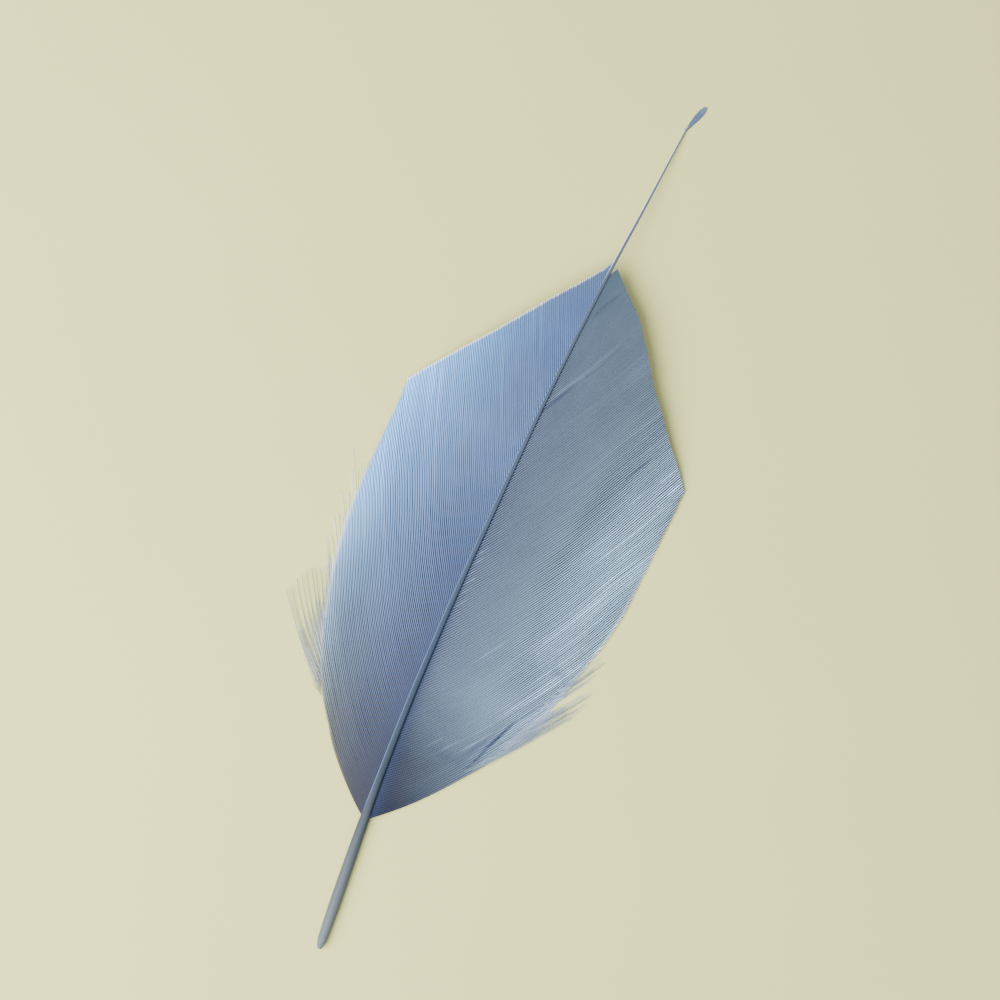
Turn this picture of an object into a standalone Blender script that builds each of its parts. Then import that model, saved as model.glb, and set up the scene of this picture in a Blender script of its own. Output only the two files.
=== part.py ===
# A pale blue goose feather, trimmed by hand to an arrowhead, with its shaft left bare above
# the vane and a small spoon of vane kept at the tip.  It lies with its rounded side up, on the
# foot of the quill, the two margins of the vane and the tip.
#
# Metres, +Z up.  +Y runs from the foot of the quill to the tip, +X is the broader half.
# The drawing below is in millimetres, with y counted from the foot of the quill.

import math

import bmesh
import bpy
from mathutils import Matrix, Vector

MM = 0.001

# Driving dimensions, in millimetres
DRAWING_CENTRE = (-3.3, 89.2)  # the drawing's point that becomes the origin
VANE_THICKNESS = 0.36
VANE_FOOT = 26.5  # where the lowest barb leaves the shaft
VANE_TOP = 142.0  # where the highest barb leaves the shaft
NECK = 173.0  # where the bare shaft meets the spoon
FLAT_LEVEL = 0.98  # height of the quill's axis over the surface it lies on

# The shaft: (y, value) pairs that a smooth curve runs through
SHAFT_SIDEWAYS = (
    (0.0, 0.6), (34.0, -1.9), (58.0, -3.8), (82.0, -4.2), (105.0, -4.0),
    (125.0, -3.65), (143.5, -3.2), (156.0, -2.4), (NECK, -1.3),
)
SHAFT_HEIGHT = (
    (0.0, FLAT_LEVEL), (25.0, FLAT_LEVEL), (38.0, 2.0), (60.0, 4.9), (84.0, 6.7),
    (106.0, 6.9), (128.0, 5.6), (146.0, 3.6), (162.0, 1.5), (NECK, 0.3),
)
SHAFT_WIDTH = (
    (0.0, 1.3), (2.0, 1.9), (11.0, 2.25), (24.0, 2.05), (34.0, 1.6), (60.0, 1.25),
    (93.0, 1.0), (123.0, 0.78), (143.0, 0.62), (156.0, 0.5), (NECK, 0.32),
)
FOOT_PLACES = (0.0, 0.8, 2.0)  # the shaft's first sections, close together at its round foot
SHAFT_STEP = 4.0  # length of one straight stretch of the shaft
SHAFT_OVERLAP = 0.6  # the shaft runs this far past the neck, into the spoon
SHAFT_SHARP_ANGLE = 35.0
HEADING_REACH = 1.0  # the shaft's heading is read this far to both sides of a place
VANE_SEAT = 0.25  # the vane leaves the shaft this share of its radius above the axis
VANE_OVERLAP = 0.2  # each half starts this share of the shaft's width past its axis

# Each half of the vane.  side is -1 or +1 along X.  By the height of a barb's root, lean is its
# angle to the shaft in degrees, and bend is how far it turns towards the tip over 40 mm.
# margin is the untrimmed edge, and cut is the scissored one, each as (y, x) from the bottom up.
LEFT_HALF = {
    "side": -1,
    "lean": ((26.0, 45.0), (45.0, 39.5), (60.0, 36.0), (75.0, 33.0), (93.0, 29.5),
             (112.0, 26.5), (126.0, 27.0), (143.0, 28.0)),
    "bend": ((26.0, 19.5), (45.0, 12.0), (70.0, 8.0)),
    "margin": ((26.0, -4.0), (38.0, -14.6), (45.0, -19.7), (51.0, -23.0), (60.0, -26.3),
               (72.0, -29.0), (84.0, -30.1), (96.0, -29.9), (107.5, -29.6)),
    "cut": ((107.5, -29.6), (143.2, -4.0)),
}
RIGHT_HALF = {
    "side": 1,
    "lean": ((26.0, 45.5), (45.0, 42.0), (60.0, 37.0), (75.0, 32.5), (93.0, 30.5),
             (112.0, 28.0), (125.0, 25.8), (143.0, 23.5)),
    "bend": ((26.0, 8.0), (60.0, 6.0)),
    "margin": ((26.0, 1.5), (38.0, 10.6), (45.0, 16.0), (52.0, 19.3), (59.5, 21.8),
               (67.5, 23.8), (76.5, 26.1), (84.0, 27.3), (98.0, 27.7), (109.7, 27.9)),
    "cut": ((109.7, 27.9), (125.2, 14.1), (136.2, 5.8), (143.3, -2.1)),
}
BEND_LENGTH = 40.0
LONGEST_BARB = 75.0
MARCH_STEP = 0.5  # step along a barb while its end is looked for
HALVINGS = 30  # how often a range is halved to find a place in it

# The vane's roof shape: it falls from the shaft to the margins, gently first
FALL_STRAIGHT = 0.3
MARGIN_WAVE = 0.3  # the margins lift this far between the places where they touch
MARGIN_TOUCH = 62.0
MARGIN_WAVE_LENGTH = 30.0

# One fold in the right half, along the barbs that leave the shaft here
FOLD_ROOT = 111.0
FOLD_WIDTH = 1.1
FOLD_DEPTH = 0.45
FOLD_LENGTH = 22.0

# Cells of each half's sheet, below and above the barb that ends in the trimmed corner
LOWER_CELLS = {-1: 18, 1: 12}
UPPER_CELLS = {-1: 26, 1: 34}
CELLS_ALONG_BARB = 13

# Loose barbs past the margins, as fans of narrow locks.  root, heading from +Y in degrees and
# length are each given for the fan's first and last lock.
LOOSE_FANS = (
    {"name": "left", "side": -1, "locks": 7, "root": ((-19.4, 48.0), (-22.2, 57.5)),
     "heading": (55.0, 40.5), "length": (19.6, 13.2), "curl": 10.0, "lift": 0.5},
    {"name": "right_low", "side": 1, "locks": 4, "root": ((15.6, 48.6), (16.8, 55.0)),
     "heading": (45.5, 46.5), "length": (16.5, 16.2), "curl": 9.0, "lift": 0.4},
    {"name": "right_high", "side": 1, "locks": 3, "root": ((20.0, 62.0), (22.4, 70.0)),
     "heading": (38.5, 33.0), "length": (13.5, 10.8), "curl": 9.0, "lift": 0.3},
)
LOCK_WIDTH = 0.6
LOCK_TIP_WIDTH = 0.16
LOCK_THICKNESS = 0.2
LOCK_CELLS = 7

# The spoon of vane at the tip
SPOON_LENGTH = 5.8
SPOON_WIDTH = 1.35
SPOON_NARROWING = 0.17  # half its breadth as a share of its width, where it starts
SPOON_SWELLING = 0.43  # and how much that share grows towards its end
SPOON_THICKNESS = 0.4
SPOON_OVERLAP = 0.35  # it starts this far below the neck
SPOON_TURN = 17.5  # degrees from +Y
SPOON_SIDES = 10
SPOON_RINGS = 9

FEATHER_COLOUR = (0.33, 0.44, 0.63, 1.0)
FEATHER_ROUGHNESS = 0.6


def smooth(points, at):
    """The value at a place on a curve through (place, value) pairs, which never overshoots."""
    if at <= points[0][0]:
        return points[0][1]
    if at >= points[-1][0]:
        return points[-1][1]
    slopes = [
        (after[1] - before[1]) / (after[0] - before[0])
        for before, after in zip(points, points[1:])
    ]

    def tangent(index):
        if index == 0:
            return slopes[0]
        if index == len(slopes):
            return slopes[-1]
        below = slopes[index - 1]
        above = slopes[index]
        if below * above <= 0.0:
            return 0.0
        return 2.0 * below * above / (below + above)

    index = max(i for i, point in enumerate(points[:-1]) if point[0] <= at)
    start, end = points[index], points[index + 1]
    span = end[0] - start[0]
    t = (at - start[0]) / span
    return (
        (1 + 2 * t) * (1 - t) ** 2 * start[1]
        + t * (1 - t) ** 2 * span * tangent(index)
        + t * t * (3 - 2 * t) * end[1]
        + t * t * (t - 1) * span * tangent(index + 1)
    )


def straight(points, at):
    """The value at a place on straight lines between (place, value) pairs."""
    for start, end in zip(points, points[1:]):
        if at <= end[0]:
            share = (at - start[0]) / (end[0] - start[0])
            return start[1] + share * (end[1] - start[1])
    return points[-1][1]


def shaft_heading(y):
    """Degrees from +Y towards +X in which the shaft runs."""
    before = smooth(SHAFT_SIDEWAYS, y - HEADING_REACH)
    after = smooth(SHAFT_SIDEWAYS, y + HEADING_REACH)
    return math.degrees(math.atan2(after - before, 2 * HEADING_REACH))


def edge_sideways(half, y):
    """Where the outline of a half of the vane lies at this y."""
    corner = half["margin"][-1][0]
    if y <= corner:
        return smooth(half["margin"], y)
    return straight(half["cut"], y)


def barb_point(half, root, along):
    """The plan position of a barb this far from the shaft's axis, for the root's y.

    A barb is an arc, so its chord has the heading of its middle.
    """
    lean = smooth(half["lean"], root)
    start = shaft_heading(root) * half["side"] + lean
    bend = smooth(half["bend"], root)
    middle = math.radians(start - 0.5 * bend * along / BEND_LENGTH)
    x = smooth(SHAFT_SIDEWAYS, root) + half["side"] * along * math.sin(middle)
    return x, root + along * math.cos(middle)


def barb_length(half, root):
    """How far a barb runs before it crosses the outline."""
    before = 0.0
    while before < LONGEST_BARB:
        after = before + MARCH_STEP
        if past_outline(half, root, after):
            for _ in range(HALVINGS):
                middle = 0.5 * (before + after)
                if past_outline(half, root, middle):
                    after = middle
                else:
                    before = middle
            return before
        before = after
    return LONGEST_BARB


def past_outline(half, root, along):
    """Whether a barb is past the margin, the cut or the top of its half at this distance."""
    x, y = barb_point(half, root, along)
    if y > half["cut"][-1][0]:
        return True
    return (x - edge_sideways(half, y)) * half["side"] > 0.0


def root_of_corner(half):
    """The root of the barb that ends in the corner between margin and cut."""
    corner = half["margin"][-1][0]
    low, high = VANE_FOOT, VANE_TOP
    for _ in range(HALVINGS):
        middle = 0.5 * (low + high)
        if barb_point(half, middle, barb_length(half, middle))[1] < corner:
            low = middle
        else:
            high = middle
    return 0.5 * (low + high)


def vane_height(x, y, half):
    """Height of the middle of the vane's thickness over the surface it lies on."""
    radius = 0.5 * smooth(SHAFT_WIDTH, y)
    ridge = smooth(SHAFT_HEIGHT, y) + VANE_SEAT * radius
    wave = 0.5 * MARGIN_WAVE * (
        1.0 - math.cos(2 * math.pi * (y - MARGIN_TOUCH) / MARGIN_WAVE_LENGTH)
    )
    rest = 0.5 * VANE_THICKNESS + wave
    centre = smooth(SHAFT_SIDEWAYS, y)
    reach = abs(smooth(half["margin"], y) - centre)
    share = min(abs(x - centre) / reach, 1.0)
    fall = FALL_STRAIGHT * share + (1.0 - FALL_STRAIGHT) * share * share
    return ridge - (ridge - rest) * fall


def fold_height(half, root, along):
    """The fold's valley, with a ridge beside it."""
    if half["side"] < 0 or along > FOLD_LENGTH:
        return 0.0
    across = (root - FOLD_ROOT) / FOLD_WIDTH
    fade = math.sin(math.pi * along / FOLD_LENGTH)
    return FOLD_DEPTH * fade * across * math.exp(-0.5 * across * across)


def placed(x, y, z):
    """A point of the drawing as a vector in metres."""
    return Vector((x - DRAWING_CENTRE[0], y - DRAWING_CENTRE[1], z)) * MM


def sheet(name, cells_across, cells_along, place, collection):
    """A grid whose points are set by place(across, along), each share from 0 to 1."""
    shape = bmesh.new()
    bmesh.ops.create_grid(shape, x_segments=cells_across, y_segments=cells_along, size=0.5)
    for vertex in shape.verts:
        vertex.co = place(vertex.co.x + 0.5, vertex.co.y + 0.5)
    bmesh.ops.recalc_face_normals(shape, faces=shape.faces)
    mesh = bpy.data.meshes.new(name)
    shape.to_mesh(mesh)
    shape.free()
    made = bpy.data.objects.new(name, mesh)
    collection.objects.link(made)
    return made


def thicken(made, thickness):
    wall = made.modifiers.new("thickness", "SOLIDIFY")
    wall.thickness = thickness * MM
    wall.offset = 0.0
    wall.use_even_offset = False


def half_vane(name, half, collection):
    """One half of the vane, its rows laid along the barbs so that its end is the outline."""
    side = half["side"]
    corner = root_of_corner(half)
    lower, upper = LOWER_CELLS[side], UPPER_CELLS[side]
    roots = [VANE_FOOT + (corner - VANE_FOOT) * i / lower for i in range(lower)]
    roots += [corner + (VANE_TOP - corner) * i / upper for i in range(upper + 1)]
    lengths = [barb_length(half, root) for root in roots]

    def place(across, along):
        row = round(along * (lower + upper))
        root = roots[row]
        inside = VANE_OVERLAP * smooth(SHAFT_WIDTH, root)
        run = across * (lengths[row] + inside) - inside
        x, y = barb_point(half, root, run)
        z = vane_height(x, y, half) + fold_height(half, root, run)
        return placed(x, y, z)

    made = sheet(name, CELLS_ALONG_BARB, lower + upper, place, collection)
    thicken(made, VANE_THICKNESS)
    return made


def loose_lock(fan, index, collection):
    """A narrow tapered strip that leaves the vane's margin in a fan."""
    share = index / (fan["locks"] - 1)
    first, last = fan["root"]
    root_x = first[0] + share * (last[0] - first[0])
    root_y = first[1] + share * (last[1] - first[1])
    heading = fan["heading"][0] + share * (fan["heading"][1] - fan["heading"][0])
    length = fan["length"][0] + share * (fan["length"][1] - fan["length"][0])
    half = LEFT_HALF if fan["side"] < 0 else RIGHT_HALF

    def place(across, along):
        run = along * length
        middle = math.radians(heading - 0.5 * fan["curl"] * along)
        turned = math.radians(heading - fan["curl"] * along)
        width = LOCK_WIDTH + (LOCK_TIP_WIDTH - LOCK_WIDTH) * along
        aside = (across - 0.5) * width
        x = root_x + fan["side"] * (run * math.sin(middle) + aside * math.cos(turned))
        y = root_y + run * math.cos(middle) - aside * math.sin(turned)
        z = vane_height(x, y, half) + fan["lift"] * along * along
        return placed(x, y, z)

    name = "loose_{}_{}".format(fan["name"], index)
    made = sheet(name, 1, LOCK_CELLS, place, collection)
    thicken(made, LOCK_THICKNESS)
    return made


def shaft_tube(collection):
    """The quill and its bare end as one tapered tube, from a curve."""
    curve = bpy.data.curves.new("shaft_line", "CURVE")
    curve.dimensions = "3D"
    curve.bevel_depth = 1.0
    curve.bevel_resolution = 2
    curve.use_fill_caps = True
    places = list(FOOT_PLACES)
    while places[-1] + SHAFT_STEP < NECK:
        places.append(places[-1] + SHAFT_STEP)
    places[-1] = NECK + SHAFT_OVERLAP
    line = curve.splines.new("POLY")
    line.points.add(len(places) - 1)
    for point, y in zip(line.points, places):
        spot = placed(smooth(SHAFT_SIDEWAYS, y), y, smooth(SHAFT_HEIGHT, y))
        point.co = (*spot, 1.0)
        point.radius = 0.5 * smooth(SHAFT_WIDTH, y) * MM
    guide = bpy.data.objects.new("shaft_line", curve)
    collection.objects.link(guide)
    bpy.context.view_layer.update()
    graph = bpy.context.evaluated_depsgraph_get()
    mesh = bpy.data.meshes.new_from_object(guide.evaluated_get(graph))
    bpy.data.objects.remove(guide)
    bpy.data.curves.remove(curve)
    shape = bmesh.new()
    shape.from_mesh(mesh)
    bmesh.ops.remove_doubles(shape, verts=shape.verts, dist=1e-7)
    flatten_foot(shape)
    bmesh.ops.recalc_face_normals(shape, faces=shape.faces)
    shape.to_mesh(mesh)
    shape.free()
    mesh.name = "feather"
    return mesh


def flatten_foot(shape):
    """Cuts the tube level where it lies on the surface, which leaves a flat strip."""
    everything = shape.verts[:] + shape.edges[:] + shape.faces[:]
    cut = bmesh.ops.bisect_plane(
        shape, geom=everything, dist=1e-8, plane_co=(0, 0, 0), plane_no=(0, 0, 1),
        clear_inner=True,
    )
    rim = [item for item in cut["geom_cut"] if isinstance(item, bmesh.types.BMEdge)]
    bmesh.ops.holes_fill(shape, edges=rim, sides=0)


def spoon(collection):
    """The little leaf of vane at the tip, narrow at the neck and round at the end."""
    shape = bmesh.new()
    bmesh.ops.create_uvsphere(
        shape, u_segments=SPOON_SIDES, v_segments=SPOON_RINGS, radius=1.0,
        matrix=Matrix.Rotation(math.radians(-90.0), 4, "X"),
    )
    turn = math.radians(SPOON_TURN)
    for vertex in shape.verts:
        along = 0.5 * (vertex.co.y + 1.0)
        breadth = SPOON_WIDTH * (SPOON_NARROWING + SPOON_SWELLING * along)
        aside = vertex.co.x * breadth
        run = along * SPOON_LENGTH - SPOON_OVERLAP
        x = smooth(SHAFT_SIDEWAYS, NECK) + run * math.sin(turn) + aside * math.cos(turn)
        y = NECK + run * math.cos(turn) - aside * math.sin(turn)
        z = 0.5 * SPOON_THICKNESS * (1.0 + vertex.co.z)
        vertex.co = placed(x, y, z)
    mesh = bpy.data.meshes.new("spoon")
    shape.to_mesh(mesh)
    shape.free()
    made = bpy.data.objects.new("spoon", mesh)
    collection.objects.link(made)
    return made


def fuse(target, collection):
    """Joins every shape of the collection to the target in one union."""
    for other in collection.objects:
        other.hide_render = True
        other.display_type = "WIRE"
    union = target.modifiers.new("grown_as_one", "BOOLEAN")
    union.operation = "UNION"
    union.solver = "EXACT"
    union.operand_type = "COLLECTION"
    union.collection = collection


def feather_material():
    """Keratin dyed a dusty blue, with a dry silky surface."""
    material = bpy.data.materials.new("dyed keratin vane")
    material.use_nodes = True
    shader = material.node_tree.nodes["Principled BSDF"]
    shader.inputs["Base Color"].default_value = FEATHER_COLOUR
    shader.inputs["Roughness"].default_value = FEATHER_ROUGHNESS
    shader.inputs["Metallic"].default_value = 0.0
    return material


def main():
    for item in list(bpy.data.objects):
        bpy.data.objects.remove(item)
    parts = bpy.data.collections.new("goose_feather")
    cutters = bpy.data.collections.new("cutters")
    bpy.context.scene.collection.children.link(parts)
    bpy.context.scene.collection.children.link(cutters)

    feather = bpy.data.objects.new("feather", shaft_tube(cutters))
    parts.objects.link(feather)
    feather.data.materials.append(feather_material())

    half_vane("left_half", LEFT_HALF, cutters)
    half_vane("right_half", RIGHT_HALF, cutters)
    for fan in LOOSE_FANS:
        for index in range(fan["locks"]):
            loose_lock(fan, index, cutters)
    spoon(cutters)
    fuse(feather, cutters)

    feather.data.shade_smooth()
    feather.data.set_sharp_from_angle(angle=math.radians(SHAFT_SHARP_ANGLE))


main()
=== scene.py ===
import math

import bpy
import numpy as np
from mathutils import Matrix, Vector


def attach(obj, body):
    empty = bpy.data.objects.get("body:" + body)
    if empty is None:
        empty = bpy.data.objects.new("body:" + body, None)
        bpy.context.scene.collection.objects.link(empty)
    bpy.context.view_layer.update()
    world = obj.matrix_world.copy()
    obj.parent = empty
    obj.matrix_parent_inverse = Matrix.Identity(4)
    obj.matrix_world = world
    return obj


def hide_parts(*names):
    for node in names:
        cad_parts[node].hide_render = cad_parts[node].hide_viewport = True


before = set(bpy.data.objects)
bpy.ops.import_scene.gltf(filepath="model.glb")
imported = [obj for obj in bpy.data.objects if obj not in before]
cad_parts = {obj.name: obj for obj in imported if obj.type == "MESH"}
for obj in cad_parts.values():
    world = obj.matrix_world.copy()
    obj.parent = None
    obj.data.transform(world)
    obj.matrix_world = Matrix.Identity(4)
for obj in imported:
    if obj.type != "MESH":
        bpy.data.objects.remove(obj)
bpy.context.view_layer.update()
print("stage: the packed feather is loaded")

mm = 0.001

# The lines of the feather, in millimetres, with y counted from the foot of the quill.
lines = {
    "centre": (-3.3, 89.2),  # the drawing's point that lies at the origin
    "vaneFoot": 26.5,
    "neck": 173.6,  # where the bare shaft meets the spoon
    "sideways": (  # where the shaft's axis lies in x
        (0.0, 0.6), (34.0, -2.5), (58.0, -3.8), (82.0, -4.25), (105.0, -4.2),
        (125.0, -3.85), (143.5, -3.15), (156.0, -2.35), (173.6, -1.4),
    ),
    "height": (  # how high the axis lies over the floor
        (0.0, 0.98), (25.0, 0.98), (38.0, 2.0), (60.0, 4.9), (84.0, 6.7),
        (106.0, 6.9), (128.0, 5.6), (146.0, 3.6), (162.0, 1.5), (173.0, 0.3),
    ),
    "width": (  # how broad the shaft is
        (0.0, 1.3), (2.0, 1.9), (11.0, 2.25), (24.0, 2.05), (34.0, 1.6), (60.0, 1.25),
        (93.0, 1.0), (123.0, 0.8), (143.0, 0.72), (156.0, 0.6), (173.0, 0.36),
    ),
    "vaneSeat": 0.25,  # the vane leaves the shaft this share of its radius above the axis
    "vaneRest": 0.18,  # the margins' middle lies this high over the floor
    "fallStraight": 0.3,  # this share of the fall to a margin is straight, and the rest rounded
    "marginWave": 0.3,  # the margins rise and fall by this much
    "marginTouch": 62.0,  # and are lowest here, and again after each length of the wave
    "marginWaveLength": 30.0,
}

# side is -1 or +1 along X.  By the height of a barb's root, gap is the way along the shaft to
# the next barb, lean is its angle to the shaft and bend is how far it turns towards the tip,
# most of it over the settle length.  margin is grown and cut is scissored.
leftHalf = {
    "side": -1,
    "gap": ((26.0, 0.53), (45.0, 0.55), (60.0, 0.62), (75.0, 0.69), (93.0, 0.79),
            (112.0, 0.88), (143.0, 0.88)),
    "lean": ((26.0, 50.0), (45.0, 43.4), (60.0, 39.5), (75.0, 35.1), (93.0, 30.4),
             (112.0, 27.5), (126.0, 25.9), (143.0, 25.1)),
    "bend": ((26.0, 43.1), (45.0, 37.6), (70.0, 29.1), (100.0, 17.2), (125.0, 6.8)),
    "settle": 45.0,
    "margin": ((26.0, -4.0), (38.0, -14.6), (45.0, -19.7), (51.0, -23.0), (60.0, -26.3),
               (72.0, -29.0), (84.0, -30.2), (96.0, -30.2), (107.2, -30.2)),
    "cut": ((107.2, -30.2), (142.5, -4.4), (144.0, -3.8)),
    "corner": 56.6,  # barbs rooted above this one end on the cut
}
rightHalf = {
    "side": 1,
    "gap": ((26.0, 0.53), (45.0, 0.57), (60.0, 0.64), (75.0, 0.69), (93.0, 0.71),
            (112.0, 0.77), (143.0, 0.8)),
    "lean": ((26.0, 56.1), (45.0, 48.6), (60.0, 42.3), (75.0, 37.7), (93.0, 32.0),
             (112.0, 27.7), (125.0, 25.8), (143.0, 23.8)),
    "bend": ((26.0, 26.9), (60.0, 16.9), (100.0, 5.2), (125.0, -2.0)),
    "settle": 25.0,
    "margin": ((26.0, 1.5), (38.0, 10.6), (45.0, 16.0), (52.0, 19.3), (59.5, 21.8),
               (67.5, 23.8), (76.5, 26.1), (84.0, 27.3), (98.0, 27.7), (109.7, 27.9)),
    "cut": ((109.7, 27.9), (125.2, 14.1), (136.2, 5.8), (143.3, -2.1)),
    "corner": 56.1,
}


# The value at each place on a curve through (place, value) points, which never overshoots.
def smooth(points, at):
    place, value = np.array(points, float).T
    step = np.diff(place)
    slope = np.diff(value) / step
    product = slope[:-1] * slope[1:]
    total = np.where(product > 0.0, slope[:-1] + slope[1:], 1.0)
    inner = np.where(product > 0.0, 2.0 * product / total, 0.0)
    tangent = np.concatenate((slope[:1], inner, slope[-1:]))
    at = np.clip(at, place[0], place[-1])
    k = np.clip(np.searchsorted(place, at, side="right") - 1, 0, len(step) - 1)
    t = (at - place[k]) / step[k]
    return (
        (1 + 2 * t) * (1 - t) ** 2 * value[k]
        + t * (1 - t) ** 2 * step[k] * tangent[k]
        + t * t * (3 - 2 * t) * value[k + 1]
        + t * t * (t - 1) * step[k] * tangent[k + 1]
    )


# From 0 to 1 between two places, with a soft start and end.
def ease(low, high, at):
    t = np.clip((at - low) / (high - low), 0.0, 1.0)
    return t * t * (3.0 - 2.0 * t)


# Degrees from +Y towards +X in which the shaft runs.
def shaftHeading(y):
    before = smooth(lines["sideways"], y - 1.0)
    after = smooth(lines["sideways"], y + 1.0)
    return np.degrees(np.arctan2(after - before, 2.0))


# Where a barb is in plan, this far from the shaft's axis.  Its chord has the mean heading of
# the way there, and the turn towards the tip dies away outwards.
def barbPoint(half, root, along):
    start = shaftHeading(root) * half["side"] + smooth(half["lean"], root)
    share = (along + 1e-6) / half["settle"]
    turned = smooth(half["bend"], root) * (1.0 + np.expm1(-share) / share)
    middle = np.radians(start - turned)
    x = smooth(lines["sideways"], root) + half["side"] * along * np.sin(middle)
    return x, root + along * np.cos(middle)


# How far the barbs of these roots run before they cross the outline.
def barbLength(half, roots):
    cutY, cutX = np.array(half["cut"], float).T
    along = np.arange(0.0, 75.0, 0.02)
    found = []
    for root in roots:
        x, y = barbPoint(half, root, along)
        edge = np.where(y <= cutY[0], smooth(half["margin"], y), np.interp(y, cutY, cutX))
        past = ((x - edge) * half["side"] > 0.0) | (y > cutY[-1])
        found.append(along[np.argmax(past)])
    return np.array(found)


# Height of the middle of the vane over the floor: it falls from the shaft to its margins.
def vaneHeight(half, x, y):
    ridge = smooth(lines["height"], y) + lines["vaneSeat"] * 0.5 * smooth(lines["width"], y)
    turn = 2.0 * np.pi * (y - lines["marginTouch"]) / lines["marginWaveLength"]
    rest = lines["vaneRest"] + 0.5 * lines["marginWave"] * (1.0 - np.cos(turn))
    centre = smooth(lines["sideways"], y)
    share = np.minimum(np.abs(x - centre) / np.abs(smooth(half["margin"], y) - centre), 1.0)
    straight = lines["fallStraight"]
    return ridge - (ridge - rest) * (straight * share + (1.0 - straight) * share * share)


# Soft hills and hollows between about -1 and 1, as a few seeded waves of about this length.
def ripple(seed, u, v, length):
    random = np.random.default_rng(seed)
    total = 0.0
    for _ in range(7):
        turn, phase = random.uniform(0.0, 2.0 * np.pi, 2)
        pitch = 2.0 * np.pi / (length * random.uniform(0.6, 1.6))
        total = total + np.sin(pitch * (u * np.cos(turn) + v * np.sin(turn)) + phase)
    return total / 3.5


def onlySelect(*made):
    bpy.ops.object.select_all(action="DESELECT")
    for item in made:
        item.select_set(True)
    bpy.context.view_layer.objects.active = made[0]


# Straight stock: one rod, drawn out ring by ring from a flat cap, and repeated in a row.
# Returns it with each point's rod, ring and place round the ring.
def rodStock(name, rods, rings, sides):
    bpy.ops.object.select_all(action="DESELECT")
    bpy.ops.mesh.primitive_circle_add(vertices=sides, radius=1.0, fill_type="NGON")
    made = bpy.context.object
    made.name = name
    made.data.name = name
    bpy.ops.object.mode_set(mode="EDIT")
    bpy.ops.mesh.select_all(action="SELECT")
    for _ in range(rings - 1):
        bpy.ops.mesh.extrude_region_move(TRANSFORM_OT_translate={"value": (0.0, 0.0, 1.0)})
    bpy.ops.object.mode_set(mode="OBJECT")
    spacing = 4.0
    if rods > 1:
        row = made.modifiers.new("row", "ARRAY")
        row.count = rods
        row.use_relative_offset = False
        row.use_constant_offset = True
        row.constant_offset_displace = (spacing, 0.0, 0.0)
        onlySelect(made)
        bpy.ops.object.modifier_apply(modifier="row")
    spots = np.empty(len(made.data.vertices) * 3)
    made.data.vertices.foreach_get("co", spots)
    x, y, z = spots.reshape(-1, 3).T
    rod = np.round(x / spacing).astype(int)
    ring = np.round(z).astype(int)
    turn = (np.arctan2(y, x - spacing * rod) / (2.0 * np.pi) - 0.25) * sides
    return made, rod, ring, np.round(turn).astype(int) % sides


# Unrolls each rod into a row of its own on the UV map OFBake.
def mapRods(made, rod, ring, point, rods, rings, sides):
    mesh = made.data
    corner = np.empty(len(mesh.loops), np.int32)
    mesh.loops.foreach_get("vertex_index", corner)
    start = np.empty(len(mesh.polygons), np.int32)
    mesh.polygons.foreach_get("loop_start", start)
    face = np.repeat(np.arange(len(start)), np.diff(np.append(start, len(corner))))
    turn, level = point[corner], ring[corner]
    spread = np.maximum.reduceat(turn, start) - np.minimum.reduceat(turn, start)
    cap = (np.maximum.reduceat(level, start) == np.minimum.reduceat(level, start))[face]
    turn = np.where((spread == sides - 1)[face] & ~cap & (turn == 0), sides, turn)
    angle = 2.0 * np.pi * turn / sides
    u = 0.02 + 0.94 * level / (rings - 1)
    u = np.where(cap, np.where(level == 0, 0.01, 0.97) + 0.008 * np.cos(angle), u)
    v = np.where(cap, 0.5 + 0.4 * np.sin(angle), 0.06 + 0.88 * turn / sides)
    places = np.stack((u, (rod[corner] + v) / rods), axis=1).astype(np.float32)
    mesh.uv_layers.new(name="OFBake").uv.foreach_set("vector", places.ravel())


# Lays the stock's points where shape(rod, along, across, rise) says, in millimetres of the
# drawing.  section is the ring as (across, rise) points, anticlockwise as seen from the far
# end.  shape also returns the named numbers that the material reads.
def layRods(name, rods, rings, section, mirrored, shape):
    made, rod, ring, point = rodStock(name, rods, rings, len(section))
    profile = np.array(section, float)
    if mirrored:
        profile = profile[::-1]
    i = np.arange(rods)[:, None, None]
    u = (np.arange(rings) / (rings - 1))[None, :, None]
    x, y, z, numbers = shape(i, u, profile[:, 0][None, None, :], profile[:, 1][None, None, :])
    whole = (rods, rings, len(section))
    x, y, z = (np.broadcast_to(value, whole)[rod, ring, point] for value in (x, y, z))
    spots = np.stack((x - lines["centre"][0], y - lines["centre"][1], z), axis=1) * mm
    made.data.vertices.foreach_set("co", spots.ravel())
    for number, value in numbers.items():
        values = np.broadcast_to(value, whole)[rod, ring, point].astype(np.float32)
        made.data.attributes.new(number, "FLOAT", "POINT").data.foreach_set("value", values)
    mapRods(made, rod, ring, point, rods, rings, len(section))
    made.data.update()
    onlySelect(made)
    bpy.ops.object.shade_smooth_by_angle(angle=math.radians(50.0))
    return made


def finishPiece(made, material):
    made.data.materials.clear()
    made.data.materials.append(material)
    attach(made, "root")
    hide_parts("feather")
    return made


# A colour given as sRGB hex, as the linear one that shaders take.
def linear(hexColour):
    parts = [int(hexColour[k:k + 2], 16) / 255.0 for k in (1, 3, 5)]
    return (*[p / 12.92 if p <= 0.04045 else ((p + 0.055) / 1.055) ** 2.4 for p in parts], 1.0)


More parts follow.
